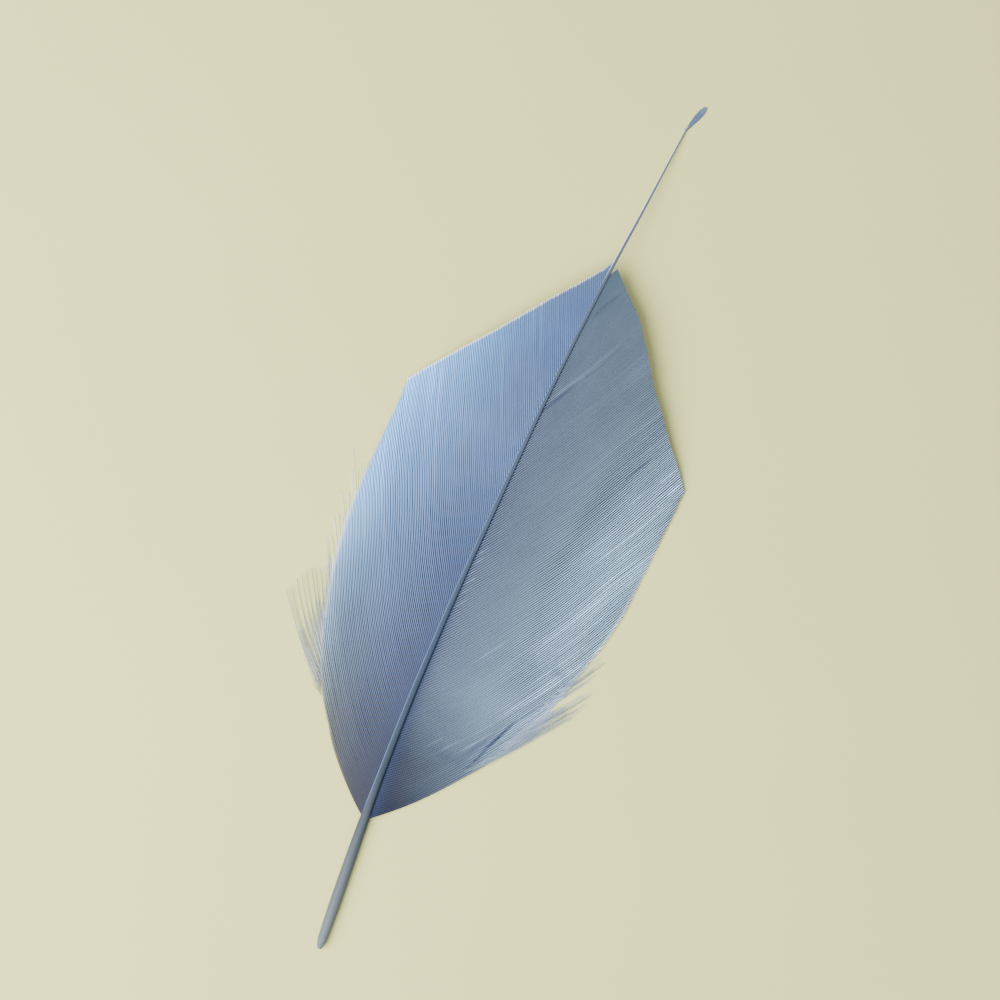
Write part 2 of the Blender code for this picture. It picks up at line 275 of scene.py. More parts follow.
# Adds one node.  inputs gives each socket a value, or another node's output to feed it.
def addNode(tree, kind, inputs=None, **settings):
    made = tree.nodes.new(kind)
    for setting, value in settings.items():
        setattr(made, setting, value)
    for socket, value in (inputs or {}).items():
        if isinstance(value, bpy.types.NodeSocket):
            tree.links.new(value, made.inputs[socket])
        else:
            made.inputs[socket].default_value = value
    return made


def newTree(name):
    material = bpy.data.materials.new(name)
    material.use_nodes = True
    material.node_tree.nodes.clear()
    return material, material.node_tree


# Goose vane: keratin barbs hooked into a sheet, dyed in a bath and pressed dry.  The dye sits
# even and milky, each barb's ridge is painted lighter where it would catch the light, and the
# thin margins let it through.  beside and margin are its colours by the shaft and at the
# margins, deep at the foot, partly as painted shade, and lighter up the blade, and end is the
# colour of the barbs' hair-thin ends, which at the grown margins also stands for painted light
# let through them.
vaneLook = {
    "left": {
        "beside": ((0.0, "#101224"), (0.45, "#2F4064"), (0.67, "#445A82")),
        "margin": ((0.1, "#6C705C"), (0.55, "#72A6E2"), (1.0, "#68B4FF")),
        "fade": 2.5,
        "end": "#F2F4EC",
    },
    "right": {
        "beside": ((0.12, "#101426"), (0.28, "#3E4A62"), (0.7, "#485269"), (1.0, "#3E5060")),
        "margin": ((0.0, "#1C2036"), (0.26, "#748AA2"), (0.55, "#5E7486"), (1.0, "#505A6C")),
        "fade": 0.8,
        "end": "#C6D4E4",
    },
    "deep": "#1E2A4C",  # what shade mixes towards: painted shade in folds, splits, creases and beside the shaft, the deeper grey of loose barbs and the darker neck of the spoon
    "ridge": 1.2,  # how much lighter the ridge of a barb is painted, and how much darker its web: partly own tone, partly painted highlight and shade
    "web": -0.7,
    "darkest": 0.15,  # the least that is left of the dye's colour in the web
    "tone": 0.07,  # how much one barb differs from the next
    "mottle": 0.05,
    "mottleSize": 6.0,
    "barbule": 0.10,
    "barbulePitch": 0.45,  # real barbules stand 0.03 mm apart, too fine to show
    "roughness": 0.5,
    "ior": 1.5,
    "specular": 0.2,  # the barbules scatter most of the shine
    "sheen": 0.05,
    "through": (0.1, 0.15),  # share of the light let through, at the shaft and at the margin
}


def rampOf(tree, at, colours):
    ramp = addNode(tree, "ShaderNodeValToRGB", {"Fac": at})
    while len(ramp.color_ramp.elements) < len(colours):
        ramp.color_ramp.elements.new(0.5)
    for k, (place, colour) in enumerate(colours):
        ramp.color_ramp.elements[k].position = place
        ramp.color_ramp.elements[k].color = linear(colour)
    return ramp.outputs["Color"]


def vaneMaterial(name, colours):
    material, tree = newTree(name)
    reach, end, across, run, tone, shade, ridgeToneAndPaintedShading = (
        addNode(tree, "ShaderNodeAttribute", attribute_name=number).outputs["Fac"]
        for number in ("reach", "end", "across", "run", "tone", "shade", "ridgeToneAndPaintedShading"))
    spot = addNode(tree, "ShaderNodeTexCoord").outputs["Object"]
    up = addNode(tree, "ShaderNodeSeparateXYZ", {"Vector": spot}).outputs["Y"]
    low, high = ((y - lines["centre"][1]) * mm for y in (lines["vaneFoot"], 143.0))
    height = addNode(tree, "ShaderNodeMapRange",
                     {"Value": up, "From Min": low, "From Max": high}).outputs[0]
    fade = addNode(tree, "ShaderNodeMath", {0: reach, 1: colours["fade"]},
                   operation="POWER").outputs[0]
    dyed = addNode(tree, "ShaderNodeMix",
                   {0: fade, 6: rampOf(tree, height, colours["beside"]),
                    7: rampOf(tree, height, colours["margin"])},
                   data_type="RGBA").outputs[2]
    dyed = addNode(tree, "ShaderNodeMix", {0: end, 6: dyed, 7: linear(colours["end"])},
                   data_type="RGBA").outputs[2]
    # the ridge of each barb is painted lighter than the web on its sides and the web darker,
    # partly the barbs' own tone and partly painted highlight and painted shade
    aside = addNode(tree, "ShaderNodeMath", {0: across}, operation="ABSOLUTE").outputs[0]
    ridge = addNode(tree, "ShaderNodeMapRange",
                    {"Value": aside, "From Min": 0.05, "From Max": 0.7,
                     "To Min": vaneLook["ridge"], "To Max": vaneLook["web"]},
                    interpolation_type="SMOOTHSTEP").outputs[0]
    ridge = addNode(tree, "ShaderNodeMath", {0: ridge, 1: ridgeToneAndPaintedShading, 2: 1.0},
                    operation="MULTIPLY_ADD").outputs[0]
    ridge = addNode(tree, "ShaderNodeMath", {0: ridge, 1: vaneLook["darkest"]},
                    operation="MAXIMUM").outputs[0]
    # the barbules cross the web as fine ticks that don't line up from barb to barb
    phase = addNode(tree, "ShaderNodeMath", {0: tone, 1: 9.0}, operation="MULTIPLY").outputs[0]
    phase = addNode(tree, "ShaderNodeMath",
                    {0: run, 1: 2.0 * math.pi / vaneLook["barbulePitch"], 2: phase},
                    operation="MULTIPLY_ADD").outputs[0]
    wave = addNode(tree, "ShaderNodeMath", {0: phase}, operation="SINE").outputs[0]
    ticks = addNode(tree, "ShaderNodeMath", {0: wave, 1: aside}, operation="MULTIPLY").outputs[0]
    ticks = addNode(tree, "ShaderNodeMath", {0: ticks, 1: vaneLook["barbule"], 2: 1.0},
                    operation="MULTIPLY_ADD").outputs[0]
    # the dye is a little cloudy
    cloud = addNode(tree, "ShaderNodeTexNoise",
                    {"Vector": spot, "Scale": 1.0 / (vaneLook["mottleSize"] * mm),
                     "Detail": 3.0, "Roughness": 0.6}).outputs["Fac"]
    cloud = addNode(tree, "ShaderNodeMapRange",
                    {"Value": cloud, "From Min": 0.3, "From Max": 0.7,
                     "To Min": 1.0 - vaneLook["mottle"],
                     "To Max": 1.0 + vaneLook["mottle"]}).outputs[0]
    level = addNode(tree, "ShaderNodeMath", {0: tone, 1: vaneLook["tone"], 2: 1.0},
                    operation="MULTIPLY_ADD").outputs[0]
    for part in (ridge, ticks, cloud):
        level = addNode(tree, "ShaderNodeMath", {0: level, 1: part},
                        operation="MULTIPLY").outputs[0]
    lit = addNode(tree, "ShaderNodeVectorMath", {"Vector": dyed, "Scale": level},
                  operation="SCALE").outputs[0]
    # shade mixes in the deep colour: painted shade in folds, splits and beside the shaft, and the
    # deeper grey of loose barbs
    colour = addNode(tree, "ShaderNodeMix", {0: shade, 6: lit, 7: linear(vaneLook["deep"])},
                     data_type="RGBA").outputs[2]
    bump = addNode(tree, "ShaderNodeBump",
                   {"Height": wave, "Strength": 0.25, "Distance": 0.03 * mm}).outputs["Normal"]
    surface = addNode(tree, "ShaderNodeBsdfPrincipled",
                      {"Base Color": colour, "Normal": bump,
                       "Roughness": vaneLook["roughness"], "IOR": vaneLook["ior"],
                       "Specular IOR Level": vaneLook["specular"],
                       "Sheen Weight": vaneLook["sheen"], "Sheen Roughness": 0.4})
    through = addNode(tree, "ShaderNodeBsdfTranslucent", {"Color": colour})
    share = addNode(tree, "ShaderNodeMapRange",
                    {"Value": reach, "From Min": 0.3, "From Max": 1.0,
                     "To Min": vaneLook["through"][0],
                     "To Max": vaneLook["through"][1]}).outputs[0]
    both = addNode(tree, "ShaderNodeMixShader",
                   {0: share, 1: surface.outputs[0], 2: through.outputs[0]})
    addNode(tree, "ShaderNodeOutputMaterial", {"Surface": both.outputs[0]})
    return material


# The two halves of the vane, barb by barb, as far apart as the real ones.
vane = {
    "rings": 56,
    "crowding": 1.25,  # above 1, the rings stand closer towards the end
    # across in half spacings, with +1 half-way to the next barb up, and rise in millimetres
    "section": ((1.25, 0.03), (0.25, 0.05), (0.02, 0.10), (-0.2, 0.06), (-0.45, -0.01),
                (-1.08, -0.035), (-0.1, -0.11), (0.25, -0.05)),
    "thinning": 0.45,  # how much of its depth a barb loses towards its end
    "tipWidth": 0.16,
    "wander": 0.012,  # how far a barb strays, by itself and with its neighbours
    "sway": 0.25,
    "swayLength": 24.0,
    "ruffle": 0.05,  # how far it rises and falls
    "ruffleLength": 9.0,
    "farFrom": (0.2, 0.8),  # shares of a barb between which far takes over from middle
    "sleek": (3.5, 0.75),  # over this last length of a grown barb its painted ridge highlight and web shade fade by this share
    "evenAt": (0.44, 0.12),  # where along a barb evenNear lies, and how far it spreads
    "evenFrom": (0.52, 0.75),  # shares of a barb between which evenFar sets in
}
# last is the highest root.  taper is the length over which a grown end narrows, ragged and
# cutRagged are how unevenly grown and cut ends stand, curl is how far a grown end turns
# towards the tip, and shift how far the roots stand out of step.  hair is how far barbs run
# past the margin, here and there and between the heights of the fringe, where they splay.
# By the height of a barb's end, pale is how light the margin is over the length paleWidth,
# partly the thin ends' own paleness and partly painted light let through them, and cutPale
# is how light the cut ends are.  By the height of its root, dip is how dark the vane is
# painted beside the shaft over the length paintedShaftShadeWidth, a painted shade.  near, middle
# and far are how strongly the ridges are painted lighter and the webs darker by the shaft,
# half-way out and at the margin, partly the barbs' own tone and partly painted highlight and
# shade, and nearReach is the length and the sharpness of the first step.  depth and outerDepth
# are how much of the section's rise a barb has.  evenNear and evenFar make up for the light that
# strong painted ridges take, half-way out and beyond, and tone is how much barbs differ by
# the shaft and at the margin.
leftTips = {
    "last": 143.2, "taper": 2.5, "ragged": 0.2, "curl": 0.3, "cutRagged": 0.04, "seed": 11,
    "hair": (2.0, 5.5), "fringe": (60.0, 68.0, 82.0, 92.0), "shift": 0.08,
    "pale": ((26.0, 0.1), (58.0, 0.1), (66.0, 0.8), (84.0, 1.0), (107.0, 0.8)),
    "cutPale": 0.6, "paleWidth": 2.0, "splay": 1.8,
    "paintedShaftShade": ((26.0, 0.3), (45.0, 0.15), (70.0, 0.0), (143.0, 0.0)),
    "paintedShaftShadeWidth": ((26.0, 1.6), (143.0, 1.0)),
    "near": ((26.0, 0.0), (45.0, 0.0), (55.0, 0.2), (70.0, 0.6), (90.0, 0.6), (112.0, 0.8),
             (126.0, 0.4), (143.0, 0.1)),
    "middle": ((26.0, 0.3), (40.0, 1.4), (60.0, 1.8), (75.0, 1.0), (90.0, 0.6), (112.0, 0.3),
               (126.0, 0.2), (143.0, 0.1)),
    "nearReach": (6.5, 2.0),
    "far": ((26.0, 0.9), (50.0, 1.6), (70.0, 0.9), (95.0, 0.9), (143.0, 0.5)),
    "depth": ((26.0, 0.2), (45.0, 0.2), (55.0, 0.25), (65.0, 0.35), (80.0, 0.4),
              (112.0, 0.5), (126.0, 0.45), (143.0, 0.3)),
    "outerDepth": ((26.0, 0.8), (65.0, 0.7), (80.0, 0.5), (143.0, 0.4)),
    "tone": (0.35, 0.8),
    "evenNear": ((26.0, 0.0), (143.0, 0.0)),
    "evenFar": ((26.0, 0.0), (143.0, 0.0)),
}
rightTips = {
    "last": 141.0, "taper": 1.2, "ragged": 0.08, "curl": 0.0, "cutRagged": 0.05, "seed": 23,
    "hair": (0.6, 1.0), "fringe": (50.0, 56.0, 70.0, 80.0), "shift": 0.03,
    "pale": ((26.0, 0.15), (52.0, 0.2), (60.0, 0.3), (68.0, 0.8), (78.0, 1.0), (90.0, 0.8),
             (109.0, 0.3)),
    "cutPale": 0.0, "paleWidth": 3.0, "splay": 0.2,
    "paintedShaftShade": ((26.0, 1.0), (45.0, 0.9), (60.0, 0.75), (75.0, 0.5), (90.0, 0.3), (108.0, 0.05),
            (143.0, 0.0)),
    "paintedShaftShadeWidth": ((26.0, 2.8), (38.0, 2.5), (45.0, 2.2), (60.0, 1.9), (75.0, 1.5), (90.0, 1.0),
                 (143.0, 0.8)),
    "near": ((26.0, 0.0), (36.0, 0.1), (45.0, 0.7), (60.0, 1.2), (75.0, 1.7), (90.0, 1.4),
             (112.0, 1.5), (125.0, 0.7), (143.0, 0.2)),
    "middle": ((26.0, 0.3), (42.0, 0.2), (52.0, 0.33), (65.0, 0.42), (80.0, 0.45), (95.0, 0.38),
               (112.0, 0.1), (143.0, 0.05)),
    "nearReach": (3.0, 1.0),
    "far": ((26.0, 0.7), (38.0, 1.9), (45.0, 3.9), (60.0, 4.6), (68.0, 3.0), (76.0, 1.7),
            (90.0, 0.6), (112.0, 0.3), (143.0, 0.2)),
    "depth": ((26.0, 0.5), (45.0, 0.55), (65.0, 0.8), (95.0, 0.8), (112.0, 0.5), (143.0, 0.3)),
    "outerDepth": ((26.0, 0.7), (45.0, 0.8), (65.0, 0.8), (80.0, 0.65), (112.0, 0.5),
                   (143.0, 0.4)),
    "tone": (0.3, 2.4),
    "evenNear": ((26.0, 0.0), (36.0, 0.4), (46.0, 1.0), (56.0, 1.5), (66.0, 1.9), (80.0, 1.0),
                 (95.0, 0.4), (112.0, 0.0)),
    "evenFar": ((26.0, 0.6), (36.0, 1.6), (45.0, 0.0), (56.0, -0.7), (66.0, -0.2), (80.0, 1.0),
                (95.0, 0.8), (112.0, 0.3), (143.0, 0.0)),
}

# Folds, splits and creases, each from one (root, along) to another.  width is its half width,
# deep how far it sinks, shade how dark it is painted, a painted shade along it, and light how
# bright the barbs beside it are painted, a painted highlight.
rightMarks = (
    {"from": (29.2, 22.8), "to": (32.2, 31.0), "width": 0.5, "deep": 0.35, "shade": 1.0,
     "light": 0.6},
    {"from": (30.4, 17.5), "to": (32.8, 27.5), "width": 1.1, "deep": 0.12, "shade": 0.4,
     "light": 0.0},
    {"from": (31.6, 29.0), "to": (32.2, 38.4), "width": 0.16, "deep": 0.1, "shade": 0.3,
     "light": 0.6},
    {"from": (27.8, 20.8), "to": (29.4, 24.6), "width": 0.2, "deep": 0.25, "shade": 0.9,
     "light": 0.8},
    {"from": (111.5, 0.5), "to": (111.7, 10.4), "width": 0.35, "deep": 0.3, "shade": 0.4,
     "light": 2.5},
    {"from": (112.2, 8.0), "to": (113.0, 18.6), "width": 0.3, "deep": -0.15, "shade": 0.0,
     "light": 2.0},
    {"from": (72.6, 39.5), "to": (72.7, 47.0), "width": 0.24, "deep": 0.12, "shade": 0.45,
     "light": 0.6},
    {"from": (130.5, 3.0), "to": (130.1, 11.0), "width": 0.45, "deep": 0.25, "shade": 0.12,
     "light": 0.3},
    {"from": (38.2, 8.9), "to": (29.1, 19.7), "width": 0.7, "deep": 0.0, "shade": 0.3,
     "light": 0.0},
    {"from": (39.0, 36.0), "to": (34.1, 41.5), "width": 0.5, "deep": 0.0, "shade": 0.4,
     "light": 0.0},
)
# Barbs painted with a highlight where they catch the light: (height of the root, from and to
# along the barb, how bright).
rightPaintedGlints = (
    (34.6, 30.0, 48.0, 5.0), (29.3, 33.0, 45.0, 4.0), (35.6, 24.0, 43.0, 3.0),
    (52.9, 12.0, 22.0, 2.0), (59.0, 56.0, 60.6, 6.0), (63.2, 51.5, 58.6, 4.0),
    (65.0, 44.0, 49.0, 3.0), (32.7, 16.5, 26.5, 4.0), (35.5, 10.0, 17.5, 3.0),
    (38.2, 7.0, 13.0, 2.5), (38.5, 30.0, 46.0, 2.5), (42.0, 34.0, 50.0, 2.5),
    (46.5, 30.0, 48.0, 3.0), (49.0, 40.0, 55.0, 2.5), (53.0, 44.0, 58.0, 2.5),
    (56.5, 38.0, 58.0, 3.0), (61.0, 30.0, 45.0, 2.0), (67.0, 29.0, 47.0, 1.5),
    (81.2, 0.5, 3.6, 3.0), (79.1, 0.6, 4.0, 4.0), (77.0, 0.8, 3.2, 2.5),
    (74.8, 0.8, 4.2, 4.0), (72.6, 1.0, 3.8, 2.5), (70.4, 1.0, 4.6, 3.0),
)
# Barbs on the left with a painted highlight, listed the same way.
leftPaintedGlints = ((52.0, 20.0, 38.0, 1.0), (70.0, 20.0, 47.0, 1.0), (96.0, 10.0, 30.0, 1.0))


def layVane(name, half, tips, marks, bright, material):
    random = np.random.default_rng(tips["seed"])
    roots = [lines["vaneFoot"]]
    while roots[-1] < tips["last"]:
        roots.append(roots[-1] + float(smooth(half["gap"], roots[-1])))
    roots = np.array(roots[:-1])
    count = len(roots)
    gaps = 0.5 * np.gradient(roots)
    roots = roots + gaps * random.uniform(-tips["shift"], tips["shift"], count)
    table = np.arange(roots[0] - 2.0, roots[-1] + 2.0, 0.25)
    lengths = barbLength(half, table)
    grown = 1.0 - ease(half["corner"] - 0.4, half["corner"] + 0.4, roots)
    ragged = random.normal(0.0, 0.5, count) * (
        grown * tips["ragged"] + (1.0 - grown) * tips["cutRagged"])
    # a few grown barbs run past the margin as single hairs, and many in the fringe
    endHeight = barbPoint(half, roots, np.interp(roots, table, lengths))[1]
    low, lowFull, highFull, high = tips["fringe"]
    fringe = ease(low, lowFull, endHeight) * (1.0 - ease(highFull, high, endHeight))
    chance = random.uniform(0.0, 1.0, count)
    hair = grown * (chance ** 5 * tips["hair"][0]
                    + (0.3 + 0.7 * chance) * fringe * tips["hair"][1])
    pale = smooth(tips["pale"], endHeight)
    splay = tips["splay"] * fringe * random.uniform(0.2, 1.0, count)
    tone = random.normal(0.0, 0.8, count)
    group = np.convolve(random.normal(0.0, 1.0, count + 8), np.ones(9) / 3.0, "valid")
    tone = np.clip(tone + 0.5 * group, -2.5, 2.5)
    tone = np.where(tone > 0.0, np.abs(tone) ** 1.5, 0.4 * tone)  # few are bright, none is dark
    full = max(lengths)
    widest = np.interp(half["corner"], table, lengths)
    phases = random.uniform(0.0, 6.28, (3, count))

    def shape(i, u, across, rise):
        root, gap = roots[i], gaps[i]
        begin = -0.2 * smooth(lines["width"], root)
        u = 1.0 - (1.0 - u) ** vane["crowding"]
        end = np.interp(root, table, lengths) + ragged[i]
        along = begin + (end + hair[i] - begin) * u
        taper = np.clip((along - end + tips["taper"]) / tips["taper"], 0.0, 1.0)
        narrow = 1.0 - vane["tipWidth"] * (1.0 + 0.4 * fringe[i])
        wide = 1.0 - narrow * grown[i] * taper ** 1.4
        # a cut end follows the cut
        own = np.interp(root + across * gap * wide, table, lengths) + ragged[i]
        along = along + (own - end) * (1.0 - grown[i]) * u ** 6
        place = root + across * gap * wide
        free = ease(1.0, 12.0, along)
        place = place + vane["wander"] * free * (
            np.sin(along / 3.1 + phases[0][i]) + np.sin(along / 7.3 + phases[1][i]))
        place = place + vane["sway"] * free * ripple(tips["seed"], root, along,
                                                     vane["swayLength"])
        place = place + tips["curl"] * grown[i] * np.clip(
            (along - end + 6.0) / 6.0, 0.0, 1.5) ** 2
        sunk, dark, light, calm = 0.0, 0.0, 0.0, 0.0
        lean = np.sin(np.radians(smooth(half["lean"], root)))
        # each mark sinks the vane, is painted darker along its line as painted shade, and gives
        # the barbs beside it a painted highlight
        for mark in marks:
            (s0, t0), (s1, t1) = mark["from"], mark["to"]
            q = np.clip((along - t0) / (t1 - t0), 0.0, 1.0)
            body = np.sin(np.pi * q) ** 0.7
            off = (root + across * gap - s0 - (s1 - s0) * q) * lean / mark["width"]
            near = np.exp(-off * off) * body
            sunk = sunk + mark["deep"] * near
            dark = dark + mark["shade"] * near
            calm = calm + near
            light = light + mark["light"] * np.exp(-(off - 2.4) ** 2) * body
        # painted highlights on the listed barbs that catch the light
        for s, t0, t1, amount in bright:
            which = np.argmin(np.abs(roots - s))
            soft = min(4.0, 0.45 * (t1 - t0))
            light = light + amount * (i == which) * ease(t0, t0 + soft, along) * (
                1.0 - ease(t1 - soft, t1, along))
        x, y = barbPoint(half, place, along)
        x = x + half["side"] * splay[i] * (np.maximum(along - end + 2.0, 0.0) / 8.0) ** 1.5
        reach = np.clip(along / np.where(root > half["corner"], widest, np.maximum(end, 1.0)),
                        0.0, 1.0)
        depth, outerDepth = (smooth(tips[part], root) for part in ("depth", "outerDepth"))
        depth = depth + (outerDepth - depth) * ease(0.3, 0.7, reach)
        depth = depth * (1.0 - vane["thinning"] * along / full)
        z = vaneHeight(half, x, y) + rise * depth - sunk
        z = z + vane["ruffle"] * free * (0.5 * np.sin(along / 4.7 + phases[2][i])
                                         + ripple(tips["seed"] + 1, root, along,
                                                  vane["ruffleLength"]))
        # the grown margins are painted paler, partly the thin ends' own paleness and partly
        # painted light let through them, and the cut ends lighter
        edge = ease(end - tips["paleWidth"] - tips["splay"] * fringe[i], end + 0.5, along) ** 1.5
        edge = edge * grown[i] * pale[i]
        edge = edge + tips["cutPale"] * (1.0 - grown[i]) * ease(end - 0.5, end - 0.1, along)
        near, middle, far = (smooth(tips[part], root) for part in ("near", "middle", "far"))
        length, power = tips["nearReach"]
        ridgeToneAndPaintedShading = middle + (near - middle) * np.exp(-(np.maximum(along, 0.0) / length) ** power)
        ridgeToneAndPaintedShading = ridgeToneAndPaintedShading + (far - ridgeToneAndPaintedShading) * ease(*vane["farFrom"], reach) ** 1.5
        last, share = vane["sleek"]
        sleek = share * ease(end - last, end - 0.5, along) * grown[i]
        ridgeToneAndPaintedShading = ridgeToneAndPaintedShading * (1.0 - sleek) * (1.0 - 0.8 * np.clip(calm, 0.0, 1.0))
        vary = tips["tone"][0] + (tips["tone"][1] - tips["tone"][0]) * ease(0.2, 0.9, reach)
        # painted shade on the vane beside the shaft
        dark = dark + smooth(tips["paintedShaftShade"], root) * np.exp(
            -(np.maximum(along, 0.0) / smooth(tips["paintedShaftShadeWidth"], root)) ** 2)
        at, spread = vane["evenAt"]
        even = smooth(tips["evenNear"], root) * np.exp(-((reach - at) / spread) ** 2)
        even = even + smooth(tips["evenFar"], root) * ease(*vane["evenFrom"], reach)
        # tone holds each barb's own random tone, its painted highlights and the evening out of
        # the painted ridges
        numbers = {"reach": reach, "end": edge, "across": across, "run": along,
                   "tone": tone[i] * vary + 2.5 * light + even,
                   "shade": np.clip(dark, 0.0, 1.0),
                   "ridgeToneAndPaintedShading": ridgeToneAndPaintedShading}
        return x, y, np.maximum(z, 0.03), numbers

    made = layRods(name, count, vane["rings"], vane["section"], half["side"] < 0, shape)
    print("stage:", name, "has", count, "barbs and", len(made.data.vertices), "points")
    return finishPiece(made, material)


dyedVaneLeft = vaneMaterial("dyedGooseVaneLeft", vaneLook["left"])
dyedVaneRight = vaneMaterial("dyedGooseVaneRight", vaneLook["right"])
layVane("leftVane", leftHalf, leftTips, (), leftPaintedGlints, dyedVaneLeft)
layVane("rightVane", rightHalf, rightTips, rightMarks, rightPaintedGlints, dyedVaneRight)

# Fans of barbs that have come unhooked.  A barb is (root x, root y, tip x, tip y, bow, grey):
# bow is how far its middle stands off towards the foot, and grey how deep it is dyed.
# between is how many steps there are from one listed barb to the next, with a shorter barb
# at each one that isn't listed.  lift is how far the tips rise off the floor, barbules how
# long the barbules are near the vane, and webPale how light they are.
leftFan = {
    "side": -1, "lift": 0.5, "seed": 5, "barbules": 1.6, "webPale": 0.15,
    "barbs": (
        (-19.6, 44.6, -34.3, 60.3, 0.35, 0.8), (-20.2, 46.0, -34.0, 60.8, 0.5, 0.5),
        (-20.8, 47.3, -33.6, 61.4, 0.6, 0.7), (-21.3, 48.6, -33.4, 63.2, 0.5, 0.9),
        (-21.8, 50.0, -32.8, 64.2, 0.4, 0.7), (-22.3, 51.3, -32.3, 65.3, 0.3, 0.9),
        (-22.9, 52.6, -31.6, 66.2, 0.1, 0.8), (-23.4, 53.9, -30.9, 66.5, 0.0, 1.0),
        (-23.9, 55.2, -30.0, 66.8, -0.2, 0.9), (-24.4, 56.6, -29.5, 67.6, -0.3, 0.4),
        (-24.9, 58.0, -29.8, 69.6, -0.3, 0.3), (-25.4, 59.6, -30.6, 71.4, -0.3, 0.3),
        (-26.0, 61.4, -31.6, 72.9, -0.2, 0.2),
    ),
    "between": 1,
}
rightLowFan = {
    "side": 1, "lift": 0.4, "seed": 6, "barbules": 1.0, "webPale": 0.3,
    "barbs": (
        (12.0, 42.9, 26.5, 61.1, 0.55, 0.5), (13.2, 44.8, 26.3, 61.4, 0.5, 0.7),
        (13.9, 46.0, 27.1, 62.7, 0.5, 0.3), (14.6, 47.2, 26.7, 62.9, 0.45, 0.6),
        (15.2, 48.4, 27.5, 64.3, 0.45, 0.8), (15.8, 49.6, 26.2, 63.9, 0.35, 0.2),
        (16.4, 50.8, 27.2, 65.4, 0.35, 0.5), (17.0, 52.0, 27.8, 66.4, 0.3, 0.9),
        (17.6, 53.3, 27.7, 66.9, 0.3, 0.3), (18.2, 54.6, 26.8, 66.3, 0.25, 0.1),
        (18.8, 55.9, 25.9, 65.4, 0.2, 0.0),
    ),
    "between": 3,
}
rightHighFan = {
    "side": 1, "lift": 0.3, "seed": 7, "barbules": 0.8, "webPale": 0.3,
    "barbs": (
        (19.6, 58.6, 26.5, 68.9, 0.2, 0.1), (20.0, 59.9, 26.9, 70.3, 0.2, 0.4),
        (20.4, 61.2, 27.0, 72.1, 0.3, 0.5), (20.8, 62.3, 27.6, 73.3, 0.35, 1.0),
        (21.3, 63.8, 26.7, 72.8, 0.3, 0.2), (21.8, 65.4, 26.3, 73.6, 0.2, 0.0),
    ),
    "between": 2,
}
looseBarbs = {
    "root": 0.09,  # radius in millimetres where the barb leaves the vane
    "tip": 0.045,
    "rings": 26,
    "barbuleGap": 0.1,  # real ones are closer and thinner, too fine to show
    "barbuleRadius": 0.022,
    "webbed": 0.6,  # share of a barb that carries barbules
    "lightRoot": 0.4,  # how light a listed barb is near the vane, and one between two of them
    "lightBetween": 0.03,
}


# A point of one of the fan's barbs, aside of it in plan, with the way that it runs there.
def fanPoint(fan, barbs, i, along, aside):
    rootX, rootY, tipX, tipY, bow, _ = barbs.T[:, i]
    wayX, wayY = tipX - rootX, tipY - rootY
    length = np.hypot(wayX, wayY)
    offX, offY = fan["side"] * wayY / length, -fan["side"] * wayX / length
    x = rootX + wayX * along + offX * bow * 4.0 * along * (1.0 - along)
    y = rootY + wayY * along + offY * bow * 4.0 * along * (1.0 - along)
    runX = wayX + offX * bow * 4.0 * (1.0 - 2.0 * along)
    runY = wayY + offY * bow * 4.0 * (1.0 - 2.0 * along)
    turned = np.arctan2(fan["side"] * runX, runY)
    x = x + fan["side"] * aside * np.cos(turned)
    y = y - aside * np.sin(turned)
    return x, y, turned, length


